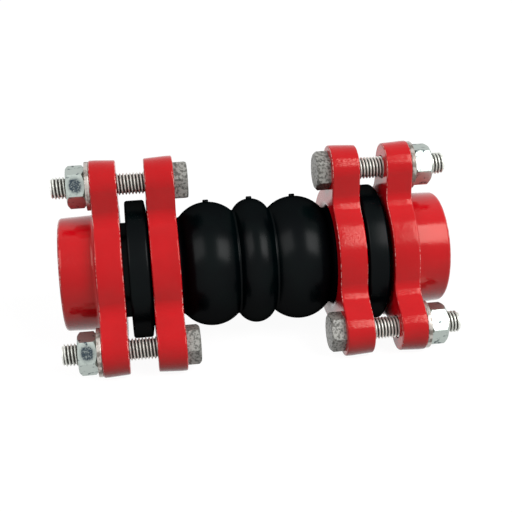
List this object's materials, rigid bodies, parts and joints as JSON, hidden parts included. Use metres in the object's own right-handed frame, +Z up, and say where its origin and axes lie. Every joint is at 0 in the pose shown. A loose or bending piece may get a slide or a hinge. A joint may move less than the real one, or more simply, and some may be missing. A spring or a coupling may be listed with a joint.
{
  "type": "flexible pipe connector",
  "caption": "Twin-sphere rubber pipe connector with a threaded flange, a loose backing flange and through bolts at each end.",
  "frame": {"origin": "on the pipe axis, at the middle of the bellows", "axes": "+X along the pipe axis, +Z up through the top bolt of each end; the connector lies on the two lower lobes of its flanges"},
  "size_m": [0.182, 0.098, 0.0878],
  "materials": {
    "red_enamel": "glossy red enamel on a ductile iron casting",
    "rubber": "moulded black rubber, soft sheen",
    "bolt_steel": "plain zinc plated steel, slightly rough",
    "washer_zinc": "zinc plated steel, satin",
    "nut_zinc": "bright zinc plated steel"
  },
  "bodies": {
    "left_end": {"left_threaded_flange": "red_enamel", "left_backing_flange": "red_enamel", "left_top_bolt": "bolt_steel", "left_top_washer": "washer_zinc", "left_top_nut": "nut_zinc", "left_front_bolt": "bolt_steel", "left_front_washer": "washer_zinc", "left_front_nut": "nut_zinc", "left_rear_bolt": "bolt_steel", "left_rear_washer": "washer_zinc", "left_rear_nut": "nut_zinc"},
    "bellows": {"rubber_bellows": "rubber"},
    "right_end": {"right_threaded_flange": "red_enamel", "right_backing_flange": "red_enamel", "right_top_bolt": "bolt_steel", "right_top_washer": "washer_zinc", "right_top_nut": "nut_zinc", "right_front_bolt": "bolt_steel", "right_front_washer": "washer_zinc", "right_front_nut": "nut_zinc", "right_rear_bolt": "bolt_steel", "right_rear_washer": "washer_zinc", "right_rear_nut": "nut_zinc"}
  },
  "joints": [
    {"name": "left_bulge_bend", "type": "hinge", "parent": "left_end", "child": "bellows", "pos_m": [-0.0208, 0, 0], "axis": [0, 0, 1], "range_deg": [-20, 20], "stiffness_Nm_per_rad": 12, "deforming": ["rubber_bellows"]},
    {"name": "right_bulge_bend", "type": "hinge", "parent": "bellows", "child": "right_end", "pos_m": [0.0208, 0, 0], "axis": [0, 0, 1], "range_deg": [-20, 20], "stiffness_Nm_per_rad": 12, "deforming": ["rubber_bellows"]}
  ]
}
